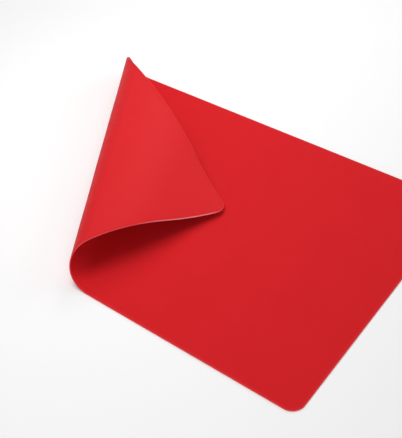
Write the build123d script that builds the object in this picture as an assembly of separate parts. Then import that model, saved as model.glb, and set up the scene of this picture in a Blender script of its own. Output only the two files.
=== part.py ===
# Silicone baking mat with one corner peeled back and turned over on itself.
# The mat is a laminate: a woven glass cloth between two silicone skins, with a
# silicone bead that closes the cut edge all round.
#
# Frame: millimetres, +Z up. The mat lies on a flat surface at Z = 0. The origin is on
# the underside, in the middle of the rectangle that the mat covers when it lies flat.
# X runs along the mat and Y across it, towards the back.
#
# How the fold is made: a thin sheet bends without stretching, so every line along
# which it bends is straight. Here three stretches of round cone follow each other: a
# tight curl, a gentle arc that lays the flap over the mat, and a slight turn upwards
# that lifts the loose corner. The fold lines of a stretch fan out from one centre in
# front of the mat, a far one for the curl and a nearer one for the flap. The curl goes
# on for as long as brings the loose corner down to its height.
from build123d import *
from math import atan2, ceil, cos, degrees, hypot, pi, sin, sqrt
import os

# Flat mat
mat_length = 420.0
mat_width = 295.0
corner_radius = 12.0
skin_thickness = 0.4
cloth_thickness = 0.2
seal_width = 3.0

# Fold, measured on the flat mat from the corner that is turned over. A fan's
# distance is how far its centre lies in front of the mat's front edge, and each
# radius is the sheet's at the front edge.
fold_front = 208.0
fold_back = 36.0
curl_fan_distance = 700.0
flap_fan_distance = 300.0
curl_radius = 17.0
lay_length = 78.0
lay_radius = 90.0
lift_radius = 110.0
loose_corner_height = 5.5

# Shares and counts: the least and most of half a turn that the curl can be, how
# often that range is halved to find it, where the bent sheet stops inside the loose
# corner that is rounded off, the step that tangents are measured over, the points
# on an edge of one face, and how many degrees the sheet may turn across one face
curl_turn_shares = (0.7, 1.3)
halvings = 40
corner_stop_share = 0.3
tangent_step_share = 0.0001
stations = 4
face_turn = 16

mat_thickness = 2 * skin_thickness + cloth_thickness
cut_overrun = corner_radius / 2


class Stretch:
    """A stretch of the bent sheet: part of a round cone, with its own fan of fold lines.

    A fold line is known by its run: how far along the front edge it is from the
    first fold line. The stretch starts at a fold line that it shares with the one
    before. That line's direction on the flat mat is angle, and on the bent mat it
    is ray, from its foot at the front edge.
    """

    def __init__(self, start, angle, foot, ray, normal, fan_distance, radius):
        reach = fan_distance / sin(angle)
        self.start, self.angle, self.ray, self.normal = start, angle, ray, normal
        self.centre_s = fold_front - start - reach * cos(angle)
        self.centre_w = -fan_distance
        self.apex = foot - ray * reach
        self.bend = reach / radius

    def angle_at(self, run):
        """Direction of a fold line on the flat mat."""
        return atan2(-self.centre_w, fold_front - run - self.centre_s)

    def fold_line(self, run):
        """Direction of a fold line on the bent mat, and the sheet's normal there."""
        turn = degrees((self.angle_at(run) - self.angle) * sqrt(1 + self.bend ** 2))
        spin = Axis((0, 0, 0), self.ray * self.bend + self.normal)
        return self.ray.rotate(spin, turn), self.normal.rotate(spin, turn)

    def place(self, run, distance, level):
        """Point of the bent mat on a fold line, at a distance from the fan's centre."""
        ray, normal = self.fold_line(run)
        return self.apex + ray * distance + normal * level

    def follow(self, start, fan_distance, radius):
        """The next stretch, from this one's fold line at start."""
        angle = self.angle_at(start)
        ray, normal = self.fold_line(start)
        foot = self.place(start, front_distance(self, start, 0), 0)
        return Stretch(start, angle, foot, ray, normal, fan_distance, radius)


def front_distance(stretch, run, inset):
    """From the fan's centre to the front edge, moved in by inset."""
    return (inset - stretch.centre_w) / sin(stretch.angle_at(run))


def rear_distance(stretch, run, inset):
    """From the fan's centre to the back edge, the round corner or the left edge."""
    angle = stretch.angle_at(run)
    to_back = (mat_width - inset - stretch.centre_w) / sin(angle)
    to_left = (inset - stretch.centre_s) / cos(angle)
    distance = min(to_back, to_left)
    # Where the round corner's centre lies, along the fold line and beside it
    ds, dw = corner_radius - stretch.centre_s, mat_width - corner_radius - stretch.centre_w
    along = ds * cos(angle) + dw * sin(angle)
    beside = dw * cos(angle) - ds * sin(angle)
    round_radius = corner_radius - inset
    if abs(beside) < round_radius:
        to_arc = along + sqrt(round_radius ** 2 - beside ** 2)
        s = stretch.centre_s + to_arc * cos(angle)
        w = stretch.centre_w + to_arc * sin(angle)
        if s < corner_radius and w > mat_width - corner_radius:
            distance = to_arc
    return distance


def bend_plan(length):
    """The three stretches, for a curl that takes this length of the front edge."""
    angle = atan2(mat_width, fold_back - fold_front)
    foot = Vector(fold_front - mat_length / 2, -mat_width / 2, 0)
    ray = Vector(cos(angle), sin(angle), 0)
    up = Vector(0, 0, 1)
    curl = Stretch(0, angle, foot, ray, up, curl_fan_distance, curl_radius)
    lay = curl.follow(length, flap_fan_distance, lay_radius)
    lift = lay.follow(length + lay_length, flap_fan_distance, -lift_radius)
    return [curl, lay, lift]


def find_curl_length():
    """Length of the curl that brings the loose corner down to its height."""
    shortest, longest = [share * pi * curl_radius for share in curl_turn_shares]
    for _ in range(halvings):
        middle = (shortest + longest) / 2
        lift = bend_plan(middle)[-1]
        if lift.place(fold_front, front_distance(lift, fold_front, 0), 0).Z > loose_corner_height:
            shortest = middle
        else:
            longest = middle
    return shortest


curl_length = find_curl_length()
stretches = bend_plan(curl_length)


def fold_line_through(s, w):
    """The stretch and the run of the fold line through a point of the flat mat."""
    for stretch in reversed(stretches):
        share = -stretch.centre_w / (w - stretch.centre_w)
        run = fold_front - stretch.centre_s - (s - stretch.centre_s) * share
        if run >= stretch.start:
            break
    return stretch, run


def edge_curve(stretch, start, end, reach, inset, level):
    """One edge of the bent sheet, between two fold lines of a stretch."""
    def point(run):
        return stretch.place(run, reach(stretch, run, inset), level)

    step = (end - start) * tangent_step_share
    runs = [start + (end - start) * i / stations for i in range(stations + 1)]
    tangents = [(point(run + step) - point(run - step)) / (2 * step) for run in (start, end)]
    return Edge.make_spline([point(run) for run in runs], tangents=tangents,
                            parameters=runs, scale=False)


def face_spans(inset):
    """The bent sheet's faces: the stretch of each, and the runs where it starts and ends."""
    last = fold_line_through(inset + corner_stop_share * (corner_radius - inset), inset)[1]
    round_ends = [(corner_radius, mat_width - inset), (inset, mat_width - corner_radius)]
    breaks = [fold_line_through(s, w)[1] for s, w in round_ends]
    breaks += [stretch.start for stretch in stretches]
    marks = sorted(run for run in breaks if 0 <= run < last) + [last]
    spans = []
    for start, end in zip(marks, marks[1:]):
        stretch = [stretch for stretch in stretches if stretch.start <= start][-1]
        bearing = stretch.angle_at(end) - stretch.angle_at(start)
        count = ceil(degrees(abs(stretch.bend) * bearing) / face_turn)
        ends = [start + (end - start) * i / count for i in range(count + 1)]
        spans += [(stretch, a, b) for a, b in zip(ends, ends[1:])]
    return spans


def folded_part(inset, low, high):
    """The bent part of the sheet between two levels, as one solid."""
    spans = face_spans(inset)
    faces = []
    for stretch, start, end in spans:
        front = [edge_curve(stretch, start, end, front_distance, inset, z) for z in (low, high)]
        rear = [edge_curve(stretch, start, end, rear_distance, inset, z) for z in (low, high)]
        pairs = [(front[0], rear[0]), (front[1], rear[1]), front, rear]
        faces += [Face.make_surface_from_curves(a, b) for a, b in pairs]
    for stretch, run in ((spans[0][0], spans[0][1]), (spans[-1][0], spans[-1][2])):
        near, far = front_distance(stretch, run, inset), rear_distance(stretch, run, inset)
        corners = [(near, low), (far, low), (far, high), (near, high)]
        outline = [stretch.place(run, distance, z) for distance, z in corners]
        faces.append(Face(Wire.make_polygon(outline, close=True)))
    return Solid(Shell(faces)) - loose_corner(inset)


def loose_corner(inset):
    """What is cut off to round the loose corner, square to the sheet."""
    stretch, run = fold_line_through(corner_radius, corner_radius)
    distance = hypot(corner_radius - stretch.centre_s, corner_radius - stretch.centre_w)
    ray, normal = stretch.fold_line(run)
    angle = stretch.angle_at(run)
    to_left = normal.cross(ray) * sin(angle) - ray * cos(angle)
    plane = Plane(stretch.place(run, distance, -cut_overrun), x_dir=to_left, z_dir=normal)
    square = Pos(corner_radius, corner_radius) * Rectangle(2 * corner_radius, 2 * corner_radius)
    profile = square - Circle(corner_radius - inset)
    return extrude(plane * profile, mat_thickness + 2 * cut_overrun)


def flat_part(inset, low, high):
    """The part of the sheet that lies flat, up to the first fold line."""
    outline = RectangleRounded(mat_length - 2 * inset, mat_width - 2 * inset, corner_radius - inset)
    plate = extrude(Pos(0, 0, low) * outline, high - low)
    curl = stretches[0]
    foot = curl.place(0, front_distance(curl, 0, 0), 0)
    return plate.split(Plane(foot, z_dir=curl.ray.cross(curl.normal)))


def sheet(inset, low, high):
    """A layer of the mat between two levels, its outline moved in by inset."""
    return flat_part(inset, low, high) + folded_part(inset, low, high)


def build():
    core_level = skin_thickness
    top_level = skin_thickness + cloth_thickness
    laminate_cut = sheet(seal_width, -mat_thickness, 2 * mat_thickness)
    return {
        "bottom_silicone_layer": sheet(seal_width, 0, core_level),
        "glass_cloth_core": sheet(seal_width, core_level, top_level),
        "top_silicone_layer": sheet(seal_width, top_level, mat_thickness),
        "edge_seal": sheet(0, 0, mat_thickness) - laminate_cut,
    }


print("curl length", round(curl_length, 2))
os.makedirs("parts", exist_ok=True)
for name, solid in build().items():
    export_step(solid, f"parts/{name}.step")
    print(name, "solids", len(solid.solids()), "volume", round(solid.volume, 2))
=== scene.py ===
"""Silicone baking mat with one corner peeled back and turned over on itself.

Everything is in metres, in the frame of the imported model: +Z up, the surface that the
mat lies on at Z = 0, the origin in the middle of the rectangle that the mat covers
when it lies flat, X along it and Y across it.

The mat is a thin sheet that bends without stretching. Each of its points has a
place on the flat sheet, s along the mat and w across it, both from the corner that
is turned over, and mat_frame says where that point is on the bent sheet. Three
stretches of round cone follow each other: a tight curl, a gentle arc that lays the
flap over the mat, and a slight turn upwards. The fold lines of a stretch fan out
from one centre in front of the mat.
"""

import bmesh
import bpy
from math import asin, atan2, ceil, cos, degrees, hypot, pi, radians, sin, sqrt, tan
from mathutils import Matrix, Quaternion, Vector


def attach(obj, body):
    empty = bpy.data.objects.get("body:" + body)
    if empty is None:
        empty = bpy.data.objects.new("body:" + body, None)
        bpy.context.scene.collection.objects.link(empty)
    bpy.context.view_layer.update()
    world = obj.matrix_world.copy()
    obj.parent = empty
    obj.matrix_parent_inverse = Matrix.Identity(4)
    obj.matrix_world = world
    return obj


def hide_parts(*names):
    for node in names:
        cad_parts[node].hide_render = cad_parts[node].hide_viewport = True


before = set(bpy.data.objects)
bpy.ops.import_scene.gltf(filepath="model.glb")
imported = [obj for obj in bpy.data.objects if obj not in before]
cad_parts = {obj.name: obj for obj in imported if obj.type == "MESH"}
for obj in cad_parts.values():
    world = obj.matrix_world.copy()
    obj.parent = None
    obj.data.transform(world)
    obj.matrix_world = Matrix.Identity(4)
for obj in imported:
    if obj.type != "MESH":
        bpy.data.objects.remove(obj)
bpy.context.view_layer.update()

MM = 0.001

# Flat mat
mat_length = 420 * MM
mat_width = 295 * MM
corner_radius = 12 * MM
skin_thickness = 0.4 * MM
cloth_thickness = 0.2 * MM
seal_width = 3 * MM
mat_thickness = 2 * skin_thickness + cloth_thickness

# Fold, measured on the flat mat from the corner that is turned over. The curl can be
# from the least to the most of these shares of half a turn, and that range is halved
# this often to find it
fold_front = 208 * MM
fold_back = 36 * MM
curl_fan_distance = 700 * MM
flap_fan_distance = 300 * MM
curl_radius = 17 * MM
lay_length = 78 * MM
lay_radius = 90 * MM
lift_radius = 110 * MM
loose_corner_height = 5.5 * MM
curl_turn_shares = (0.7, 1.3)
halvings = 40

# Slow waves of the sheet, always towards its upper side, so that it never dips into
# what it lies on: height of the flat part and of the flap, lengths along and across,
# and how far, in radians, each wave's crests sway along the other
flat_wave = 0.12 * MM
flap_wave = 0.45 * MM
wave_lengths = (150 * MM, 110 * MM)
wave_bends = (0.4, 0.6)

# Mesh: fold lines across the bent part, lines across the round corners at either end
# and across the flat part, points along each, the share of the loose corner's radius
# that they reach, and the turn in degrees at which an edge of a layer is sharp
bent_lines = 190
corner_lines = 14
flat_lines = 46
points_per_line = 40
corner_end_share = 0.995
layer_sharp_turn = 50

# Edge bead: spacing of its sections, the degrees between them round a corner, the
# points of its rounded outer side, the width of the softened step on its inner side
# and how far that dips, the turn at which an edge is sharp, and how far in its painted
# highlight reaches
bead_step = 2 * MM
bead_corner_turn = 5
bead_round_points = 9
seam_width = 0.25 * MM
seam_dip = 0.04 * MM
bead_sharp_turn = 70
rim_width = 0.7 * MM

# How strong the rim's painted highlight is: full along a stretch of the front edge, which
# starts and ends at these distances from the loose corner and fades over these lengths,
# and a share of that elsewhere
highlight_start = 20 * MM
highlight_end = 62 * MM
highlight_start_fade = 12 * MM
highlight_end_fade = 40 * MM
plain_rim_highlight_share = 0.16

# The photograph's frame in pixels, and the camera that it was taken with
photo_size = (402, 438)
focal_pixels = 825.6
sensor_side = 36
camera_place = Vector((375.20, -468.44, 525.79)) * MM
camera_aim = Vector((20.37, -12.52, 0)) * MM
camera_roll = -1.80
clip_near = 0.01
clip_far = 50


# The bent sheet


class Stretch:
    """Part of a round cone, whose fold lines fan out from one centre.

    A fold line is known by its run: how far along the front edge it is from the
    first fold line. The stretch starts at a fold line that it shares with the one
    before, whose direction is angle on the flat mat and ray on the bent one.
    """

    def __init__(self, start, angle, foot, ray, normal, fan_distance, radius):
        reach = fan_distance / sin(angle)
        self.start, self.angle, self.ray, self.normal = start, angle, ray, normal
        self.centre_s = fold_front - start - reach * cos(angle)
        self.centre_w = -fan_distance
        self.apex = foot - ray * reach
        self.bend = reach / radius

    def angle_at(self, run):
        """Direction of a fold line on the flat mat."""
        return atan2(-self.centre_w, fold_front - run - self.centre_s)

    def fold_line(self, run):
        """Direction of a fold line on the bent mat, and the sheet's normal there."""
        turn = (self.angle_at(run) - self.angle) * sqrt(1 + self.bend ** 2)
        spin = Quaternion((self.ray * self.bend + self.normal).normalized(), turn)
        return spin @ self.ray, spin @ self.normal

    def place(self, run, distance):
        """Point of the bent underside on a fold line, from the fan's centre."""
        return self.apex + self.fold_line(run)[0] * distance

    def front_distance(self, run):
        """From the fan's centre to the front edge."""
        return -self.centre_w / sin(self.angle_at(run))

    def follow(self, start, fan_distance, radius):
        """The next stretch, from this one's fold line at start."""
        ray, normal = self.fold_line(start)
        foot = self.place(start, self.front_distance(start))
        return Stretch(start, self.angle_at(start), foot, ray, normal, fan_distance, radius)


def bend_plan(length):
    """The three stretches, for a curl that takes this length of the front edge."""
    angle = atan2(mat_width, fold_back - fold_front)
    foot = Vector((fold_front - mat_length / 2, -mat_width / 2, 0))
    ray = Vector((cos(angle), sin(angle), 0))
    curl = Stretch(0, angle, foot, ray, Vector((0, 0, 1)), curl_fan_distance, curl_radius)
    lay = curl.follow(length, flap_fan_distance, lay_radius)
    lift = lay.follow(length + lay_length, flap_fan_distance, -lift_radius)
    return [curl, lay, lift]


def find_curl_length():
    """Length of the curl that brings the loose corner down to its height."""
    shortest, longest = [share * pi * curl_radius for share in curl_turn_shares]
    for _ in range(halvings):
        middle = (shortest + longest) / 2
        lift = bend_plan(middle)[-1]
        if lift.place(fold_front, lift.front_distance(fold_front)).z > loose_corner_height:
            shortest = middle
        else:
            longest = middle
    return shortest


curl_length = find_curl_length()
stretches = bend_plan(curl_length)


def fold_line_through(s, w):
    """The stretch and the run of the fold line through a point of the flat mat."""
    for stretch in reversed(stretches):
        share = -stretch.centre_w / (w - stretch.centre_w)
        run = fold_front - stretch.centre_s - (s - stretch.centre_s) * share
        if run >= stretch.start:
            break
    return stretch, run


def mat_frame(s, w):
    """Place of a point of the mat's underside, and the sheet's normal there."""
    stretch, run = fold_line_through(s, w)
    if run <= 0:
        base, normal = Vector((s - mat_length / 2, w - mat_width / 2, 0)), Vector((0, 0, 1))
    else:
        ray, normal = stretch.fold_line(run)
        base = stretch.apex + ray * hypot(s - stretch.centre_s, w - stretch.centre_w)
    lift = min(max(run / curl_length, 0), 1)
    height = flat_wave + (flap_wave - flat_wave) * lift ** 2
    along, across = [2 * pi / length for length in wave_lengths]
    bow, sway = wave_bends[0] * sin(across * w), wave_bends[1] * sin(along * s)
    wave = sin(along * s + bow) * cos(across * w + sway)
    return base + normal * height * (1 + wave) / 2, normal


def line_span(stretch, run, inset):
    """Where a fold line enters and leaves the mat's outline, moved in by inset."""
    angle = stretch.angle_at(run)
    centre_s, centre_w = stretch.centre_s, stretch.centre_w
    enter = (inset - centre_w) / sin(angle)
    leave = min((mat_width - inset - centre_w) / sin(angle), (inset - centre_s) / cos(angle))
    spans = [enter, leave]
    # A line can enter and leave through the loose corner, and leave through the back one
    for corner_w, ends in ((corner_radius, (0, 1)), (mat_width - corner_radius, (1,))):
        ds, dw = corner_radius - centre_s, corner_w - centre_w
        along = ds * cos(angle) + dw * sin(angle)
        beside = dw * cos(angle) - ds * sin(angle)
        reach = corner_radius - inset
        if abs(beside) > reach:
            continue
        for end in ends:
            hit = along + (2 * end - 1) * sqrt(reach ** 2 - beside ** 2)
            s, w = centre_s + hit * cos(angle), centre_w + hit * sin(angle)
            in_corner_w = w < corner_radius if corner_w == corner_radius else w > corner_w
            if s < corner_radius and in_corner_w:
                spans[end] = hit
    return [(centre_s + d * cos(angle), centre_w + d * sin(angle)) for d in spans]


def sheet_lines(inset):
    """Lines across the flat mat, each a front and a rear point, from the loose
    corner to the far side. On the bent part they are fold lines."""
    lift = stretches[-1]
    to_corner = hypot(corner_radius - lift.centre_s, corner_radius - lift.centre_w)
    corner_angle = atan2(corner_radius - lift.centre_w, corner_radius - lift.centre_s)
    corner_run = fold_line_through(corner_radius, corner_radius)[1]
    widest = asin(corner_end_share)
    runs = []
    for i in range(corner_lines):
        reach = (corner_radius - inset) * sin(widest * (1 - i / corner_lines))
        angle = corner_angle + asin(reach / to_corner)
        runs.append(fold_front - lift.centre_s + lift.centre_w / tan(angle))
    runs += [corner_run * (1 - i / bent_lines) for i in range(bent_lines + 1)]
    lines = []
    for run in runs:
        stretch = [stretch for stretch in stretches if stretch.start <= run][-1]
        lines.append(line_span(stretch, run, inset))
    front_start, rear_start = lines[-1][0][0], lines[-1][1][0]
    straight_end = mat_length - corner_radius
    for i in range(1, flat_lines + 1):
        share = i / flat_lines
        front = front_start + (straight_end - front_start) * share
        rear = rear_start + (straight_end - rear_start) * share
        lines.append([(front, inset), (rear, mat_width - inset)])
    reach = corner_radius - inset
    for i in range(1, corner_lines + 1):
        turn = pi / 2 * i / corner_lines
        s = straight_end + reach * sin(turn)
        in_from_edge = corner_radius - reach * cos(turn)
        lines.append([(s, in_from_edge), (s, mat_width - in_from_edge)])
    return lines


# Meshes


def new_piece(name, verts, faces, attributes, sharp_turn):
    """A mesh object with smooth faces that all point outwards, and the edges that
    turn by more than sharp_turn degrees marked as sharp."""
    mesh = bpy.data.meshes.new(name)
    mesh.from_pydata(verts, [], faces)
    for key, values in attributes.items():
        kind, field = ("FLOAT_VECTOR", "vector") if len(values[0]) == 3 else ("FLOAT", "value")
        layer = mesh.attributes.new(key, kind, "POINT")
        layer.data.foreach_set(field, [x for value in values for x in value])
    mesh.shade_smooth()
    shape = bmesh.new()
    shape.from_mesh(mesh)
    bmesh.ops.recalc_face_normals(shape, faces=shape.faces)
    for edge in shape.edges:
        if len(edge.link_faces) == 2 and degrees(edge.calc_face_angle(0)) > sharp_turn:
            edge.smooth = False
    shape.to_mesh(mesh)
    shape.free()
    piece = bpy.data.objects.new(name, mesh)
    bpy.context.scene.collection.objects.link(piece)
    return piece


def layer_piece(name, low, high):
    """One layer of the laminate, a closed shell between two levels."""
    lines = sheet_lines(seal_width)
    grid = []
    for (s0, w0), (s1, w1) in lines:
        for j in range(points_per_line):
            share = j / (points_per_line - 1)
            grid.append((s0 + (s1 - s0) * share, w0 + (w1 - w0) * share))
    frames = [mat_frame(s, w) for s, w in grid]
    verts = [base + normal * level for level in (low, high) for base, normal in frames]
    flat = [(s, w, level) for level in (low, high) for s, w in grid]
    count, rows, columns = len(grid), points_per_line, len(lines)
    faces = []
    for i in range(columns - 1):
        for j in range(rows - 1):
            a, b = i * rows + j, (i + 1) * rows + j
            faces.append((a, b, b + 1, a + 1))
            faces.append((count + a, count + a + 1, count + b + 1, count + b))
    border = [i * rows for i in range(columns)]
    border += [(columns - 1) * rows + j for j in range(1, rows)]
    border += [i * rows + rows - 1 for i in range(columns - 2, -1, -1)]
    border += range(rows - 2, 0, -1)
    for a, b in zip(border, border[1:] + border[:1]):
        faces.append((a, b, count + b, count + a))
    return new_piece(name, verts, faces, {"flat_place": flat}, layer_sharp_turn)


def outline_stations():
    """Points round the flat mat's outline, each with its direction inwards."""
    corners = [
        (mat_length - corner_radius, corner_radius, -90),
        (mat_length - corner_radius, mat_width - corner_radius, 0),
        (corner_radius, mat_width - corner_radius, 90),
        (corner_radius, corner_radius, 180),
    ]
    turns = 90 // bead_corner_turn
    stations = []
    for s, w, start in corners:
        for i in range(turns + 1):
            angle = radians(start + bead_corner_turn * i)
            out = (cos(angle), sin(angle))
            place = (s + corner_radius * out[0], w + corner_radius * out[1])
            stations.append((place, (-out[0], -out[1])))
    ring = []
    for (here, inward), (there, _) in zip(stations, stations[1:] + stations[:1]):
        gap = hypot(there[0] - here[0], there[1] - here[1])
        steps = ceil(gap / bead_step) if gap > 2 * bead_step else 1
        for k in range(steps):
            place = tuple(a + (b - a) * k / steps for a, b in zip(here, there))
            ring.append((place, inward))
    return ring


def bead_profile():
    """Section of the edge bead: inset from the outline, and level."""
    radius = mat_thickness / 2
    points = [(seal_width, seam_dip), (seal_width - seam_width, 0), (rim_width + radius, 0)]
    for i in range(bead_round_points):
        turn = pi * i / (bead_round_points - 1)
        points.append((radius - radius * sin(turn), radius - radius * cos(turn)))
    points += [(rim_width + radius, mat_thickness), (seal_width - seam_width, mat_thickness)]
    points.append((seal_width, mat_thickness - seam_dip))
    return points


def rim_highlight_share(s, w):
    """Share of the rim's painted highlight at a point of the outline."""
    if w > corner_radius:
        return plain_rim_highlight_share
    from_start = (s - highlight_start) / highlight_start_fade + 1
    from_end = (highlight_end - s) / highlight_end_fade + 1
    highlight_stretch = min(max(min(from_start, from_end), 0), 1)
    return plain_rim_highlight_share + (1 - plain_rim_highlight_share) * highlight_stretch


def edge_bead_piece(name):
    """The silicone bead that closes the cut edge all round."""
    profile = bead_profile()
    ring = outline_stations()
    verts, flat, rim_highlight = [], [], []
    for (s, w), (in_s, in_w) in ring:
        highlight_share = rim_highlight_share(s, w)
        for inset, level in profile:
            at = (s + in_s * inset, w + in_w * inset)
            base, normal = mat_frame(*at)
            verts.append(base + normal * level)
            flat.append((*at, level))
            # Painted highlight along the outer edge, fading inwards over rim_width
            rim_highlight.append((max(0, 1 - inset / rim_width) * highlight_share,))
    faces = []
    count = len(profile)
    for i in range(len(ring)):
        here, there = i * count, (i + 1) % len(ring) * count
        for j in range(count):
            k = (j + 1) % count
            faces.append((here + j, there + j, there + k, here + k))
    return new_piece(name, verts, faces, {"flat_place": flat, "rim_highlight": rim_highlight}, bead_sharp_turn)


# Nodes of the materials

# A wave texture at scale 1 turns by this many radians in a metre
wave_texture_rate = 20


def link(tree, source, target):
    tree.links.new(source, target)


def node(tree, kind, **values):
    """A new node: in_NAME sets an input, and any other name a setting."""
    made = tree.nodes.new(kind)
    for key, value in values.items():
        if key.startswith("in_"):
            made.inputs[key[3:].replace("_", " ")].default_value = value
        else:
            setattr(made, key, value)
    return made


def new_material(name):
    """An empty material: itself, its tree and the socket for its surface."""
    material = bpy.data.materials.new(name)
    material.use_nodes = True
    tree = material.node_tree
    tree.nodes.clear()
    output = node(tree, "ShaderNodeOutputMaterial")
    return material, tree, output.inputs["Surface"]


def sheet_coordinates(tree):
    """The place on the flat sheet, so that patterns bend with the mat."""
    return node(tree, "ShaderNodeAttribute", attribute_name="flat_place").outputs["Vector"]


def noise(tree, where, size, detail, roughness):
    """Noise whose features are about size metres across."""
    made = node(tree, "ShaderNodeTexNoise", in_Scale=1 / size, in_Detail=detail,
                in_Roughness=roughness)
    link(tree, where, made.inputs["Vector"])
    return made.outputs["Fac"]


def bands(tree, where, pitch, axis):
    """Ridges across one axis of the sheet, one to each pitch."""
    made = node(tree, "ShaderNodeTexWave", bands_direction=axis,
                in_Scale=2 * pi / (wave_texture_rate * pitch))
    link(tree, where, made.inputs["Vector"])
    return made.outputs["Fac"]


def ranged(tree, value, low, high, from_low=0.0, from_high=1.0):
    """A value taken from one range to another, and kept inside it."""
    made = node(tree, "ShaderNodeMapRange", in_From_Min=from_low, in_From_Max=from_high,
                in_To_Min=low, in_To_Max=high)
    link(tree, value, made.inputs["Value"])
    return made.outputs["Result"]


def combined(tree, operation, first, second):
    """Two values brought together by a named operation."""
    made = node(tree, "ShaderNodeMath", operation=operation)
    link(tree, first, made.inputs[0])
    link(tree, second, made.inputs[1])
    return made.outputs[0]


def mixed(tree, share, first, second):
    """Two colours mixed; each is a colour or a socket."""
    made = node(tree, "ShaderNodeMix", data_type="RGBA")
    link(tree, share, made.inputs["Factor"])
    for name, colour in (("A", first), ("B", second)):
        socket = [i for i in made.inputs if i.name == name and i.type == "RGBA"][0]
        if isinstance(colour, tuple):
            socket.default_value = (*colour, 1)
        else:
            link(tree, colour, socket)
    return [o for o in made.outputs if o.type == "RGBA"][0]


def bump(tree, height, depth, under=None):
    """A normal with relief of this depth, over another relief if one is given."""
    made = node(tree, "ShaderNodeBump", in_Strength=1.0, in_Distance=depth)
    link(tree, height, made.inputs["Height"])
    if under is not None:
        link(tree, under, made.inputs["Normal"])
    return made.outputs["Normal"]


# Materials

silicone_red = (0.660, 0.0135, 0.0182)
silicone_light_red = (0.695, 0.0155, 0.0205)
# Pale pink painted on the rim of the edge bead as a highlight
silicone_rim_highlight = (0.92, 0.42, 0.46)
silicone_ior = 1.41

# Each side's specular level and the range of its roughness: the underside, which
# shows on the flap, is a little glossier
top_finish = (0.065, (0.60, 0.70))
underside_finish = (0.13, (0.50, 0.59))
edge_finish = (0.10, (0.54, 0.63))

# Each pattern's size, detail and roughness, and the depth of its relief. The mottling
# has no relief: its values between these two give the range of the gloss
handling_noise = (38 * MM, 3.0, 0.5)
mottle_noise = (9 * MM, 4.0, 0.6)
grain_noise = (0.35 * MM, 3.0, 0.5)
handling_depth = 0.25 * MM
grain_depth = 0.012 * MM
mottle_range = (0.3, 0.7)

# The glass cloth's weave, its colour and roughness low and high on a yarn, its relief,
# and the relief of its print through the silicone
weave_pitch = 0.9 * MM
yarn_colours = ((0.60, 0.55, 0.50), (0.82, 0.78, 0.72))
yarn_roughness = (0.6, 0.4)
yarn_depth = 0.06 * MM
print_depth = 0.004 * MM


def silicone(name, finish, rim_highlight=False):
    """Satin silicone: matte grain, a faint print of the cloth, and slow mottling."""
    specular_level, roughness = finish
    material, tree, surface = new_material(name)
    shader = node(tree, "ShaderNodeBsdfPrincipled", in_IOR=silicone_ior,
                  in_Specular_IOR_Level=specular_level)
    link(tree, shader.outputs[0], surface)
    where = sheet_coordinates(tree)
    handling = noise(tree, where, *handling_noise)
    mottle = noise(tree, where, *mottle_noise)
    colour = mixed(tree, handling, silicone_red, silicone_light_red)
    # The rim gets a painted highlight: a paler colour mixed in by its attribute
    if rim_highlight:
        edge = node(tree, "ShaderNodeAttribute", attribute_name="rim_highlight").outputs["Fac"]
        colour = mixed(tree, edge, colour, silicone_rim_highlight)
    link(tree, colour, shader.inputs["Base Color"])
    link(tree, ranged(tree, mottle, *roughness, *mottle_range), shader.inputs["Roughness"])
    warp, weft = [bands(tree, where, weave_pitch, axis) for axis in "XY"]
    weave = combined(tree, "MAXIMUM", warp, weft)
    slow = bump(tree, handling, handling_depth)
    print_through = bump(tree, weave, print_depth, slow)
    grain = bump(tree, noise(tree, where, *grain_noise), grain_depth, print_through)
    link(tree, grain, shader.inputs["Normal"])
    return material


def glass_cloth(name):
    """Plain woven glass cloth: warp over weft in turn, off white, silky."""
    material, tree, surface = new_material(name)
    shader = node(tree, "ShaderNodeBsdfPrincipled")
    link(tree, shader.outputs[0], surface)
    where = sheet_coordinates(tree)
    warp, weft = [bands(tree, where, weave_pitch, axis) for axis in "XY"]
    checks = node(tree, "ShaderNodeTexChecker", in_Scale=1 / weave_pitch)
    link(tree, where, checks.inputs["Vector"])
    over = node(tree, "ShaderNodeMix", data_type="FLOAT")
    link(tree, checks.outputs["Fac"], over.inputs["Factor"])
    link(tree, warp, over.inputs["A"])
    link(tree, weft, over.inputs["B"])
    yarn = over.outputs[0]
    link(tree, mixed(tree, yarn, *yarn_colours), shader.inputs["Base Color"])
    link(tree, ranged(tree, yarn, *yarn_roughness), shader.inputs["Roughness"])
    link(tree, bump(tree, yarn, yarn_depth), shader.inputs["Normal"])
    return material


# The mat

top_red = silicone("silicone_satin_red_top", top_finish)
underside_red = silicone("silicone_satin_red_underside", underside_finish)
bead_red = silicone("silicone_satin_red_edge", edge_finish, rim_highlight=True)
cloth_white = glass_cloth("woven_glass_cloth")

cloth_level = skin_thickness
top_level = skin_thickness + cloth_thickness

bottom_skin = layer_piece("bottom_silicone_skin", 0, cloth_level)
cloth = layer_piece("glass_cloth", cloth_level, top_level)
top_skin = layer_piece("top_silicone_skin", top_level, mat_thickness)
edge_bead = edge_bead_piece("sealed_edge_bead")

for piece, material, cad_node, slot in (
    (bottom_skin, underside_red, "bottom_silicone_layer", "bottom_silicone"),
    (cloth, cloth_white, "glass_cloth_core", "glass_cloth"),
    (top_skin, top_red, "top_silicone_layer", "top_silicone"),
    (edge_bead, bead_red, "edge_seal", "edge_silicone"),
):
    piece.data.materials.append(material)
    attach(piece, "root")
    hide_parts(cad_node)


# The stage

# Floor: half its side, how far it lies below the mat, its colour, the light added
# where it is seen, and how far from the origin it starts to fade and is all white
floor_half = 6.0
floor_drop = 0.05 * MM
floor_white = (0.90, 0.90, 0.90, 1)
floor_lift = 0.12
fade_start = 0.35
fade_end = 0.85

# World: its colour, the light that it throws on things, and how bright it and the
# white part of the floor are where they are seen
world_white = (1, 1, 1, 1)
world_strength = 0.22
seen_strength = 1.0

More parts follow.
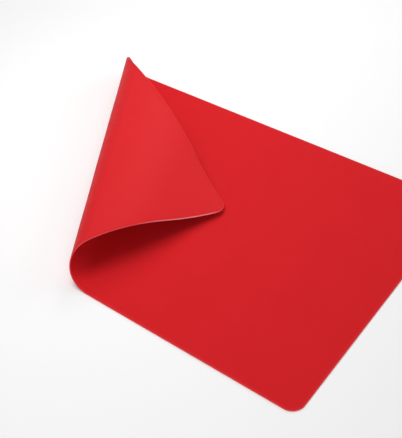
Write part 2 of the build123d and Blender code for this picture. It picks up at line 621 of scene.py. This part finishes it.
# Softboxes, all aimed at one point: each one's place, its diameter and its watts
lamp_aim = Vector((-0.08, 0, 0))
softboxes = {
    "overhead_softbox": ((-0.14, -0.12, 0.70), 0.45, 2.15),
    "left_softbox": ((-0.30, 0.08, 0.66), 0.42, 0.84),
    "rear_left_softbox": ((-0.24, 0.53, 0.50), 0.28, 1.05),
    "rear_right_softbox": ((0.40, 0.88, 0.40), 0.6, 2.15),
    "front_fill": ((0.75, -0.95, 0.30), 0.8, 6.2),
}


def seen_directly(tree):
    """1 for camera, mirror and glass rays, and 0 for the light that falls on things."""
    path = node(tree, "ShaderNodeLightPath")
    seen = path.outputs["Is Camera Ray"]
    for kind in ("Is Glossy Ray", "Is Transmission Ray"):
        seen = combined(tree, "MAXIMUM", seen, path.outputs[kind])
    return seen


def floor_material():
    """A pale floor that keeps shadows near the mat and fades to white around it."""
    material, tree, surface = new_material("floor_white")
    seen = seen_directly(tree)
    lift = node(tree, "ShaderNodeEmission")
    link(tree, ranged(tree, seen, 0, floor_lift), lift.inputs["Strength"])
    lit = node(tree, "ShaderNodeAddShader")
    diffuse = node(tree, "ShaderNodeBsdfDiffuse", in_Color=floor_white)
    link(tree, diffuse.outputs[0], lit.inputs[0])
    link(tree, lift.outputs[0], lit.inputs[1])
    place = node(tree, "ShaderNodeNewGeometry")
    distance = node(tree, "ShaderNodeVectorMath", operation="LENGTH")
    link(tree, place.outputs["Position"], distance.inputs[0])
    fade = ranged(tree, distance.outputs["Value"], 0, 1, fade_start, fade_end)
    white = node(tree, "ShaderNodeEmission", in_Strength=seen_strength)
    blend = node(tree, "ShaderNodeMixShader")
    link(tree, combined(tree, "MULTIPLY", fade, seen), blend.inputs[0])
    link(tree, lit.outputs[0], blend.inputs[1])
    link(tree, white.outputs[0], blend.inputs[2])
    link(tree, blend.outputs[0], surface)
    return material


def make_floor():
    mesh = bpy.data.meshes.new("floor")
    signs = ((-1, -1), (1, -1), (1, 1), (-1, 1))
    corners = [(x * floor_half, y * floor_half, -floor_drop) for x, y in signs]
    mesh.from_pydata(corners, [], [(0, 1, 2, 3)])
    mesh.materials.append(floor_material())
    floor = bpy.data.objects.new("floor", mesh)
    bpy.context.scene.collection.objects.link(floor)


def make_world():
    world = bpy.data.worlds.new("studio")
    bpy.context.scene.world = world
    world.use_nodes = True
    tree = world.node_tree
    background = tree.nodes["Background"]
    background.inputs["Color"].default_value = world_white
    strength = ranged(tree, seen_directly(tree), world_strength, seen_strength)
    link(tree, strength, background.inputs["Strength"])


def make_softbox(name, place, diameter, watts):
    data = bpy.data.lights.new(name, "AREA")
    data.shape = "DISK"
    data.size = diameter
    data.energy = watts
    lamp = bpy.data.objects.new(name, data)
    bpy.context.scene.collection.objects.link(lamp)
    lamp.location = place
    lamp.rotation_euler = (lamp_aim - Vector(place)).to_track_quat("-Z", "Y").to_euler()


def make_camera():
    data = bpy.data.cameras.new("photo_camera")
    data.sensor_width = sensor_side
    data.lens = sensor_side * focal_pixels / max(photo_size)
    data.clip_start = clip_near
    data.clip_end = clip_far
    camera = bpy.data.objects.new("photo_camera", data)
    bpy.context.scene.collection.objects.link(camera)
    camera.location = camera_place
    turn = (camera_aim - camera_place).to_track_quat("-Z", "Y").to_matrix()
    roll = Matrix.Rotation(radians(camera_roll), 3, "Z")
    camera.rotation_euler = (turn @ roll).to_euler()
    bpy.context.scene.camera = camera


make_floor()
make_world()
for name, (place, diameter, watts) in softboxes.items():
    make_softbox(name, place, diameter, watts)
make_camera()
bpy.context.scene.view_settings.view_transform = "Standard"
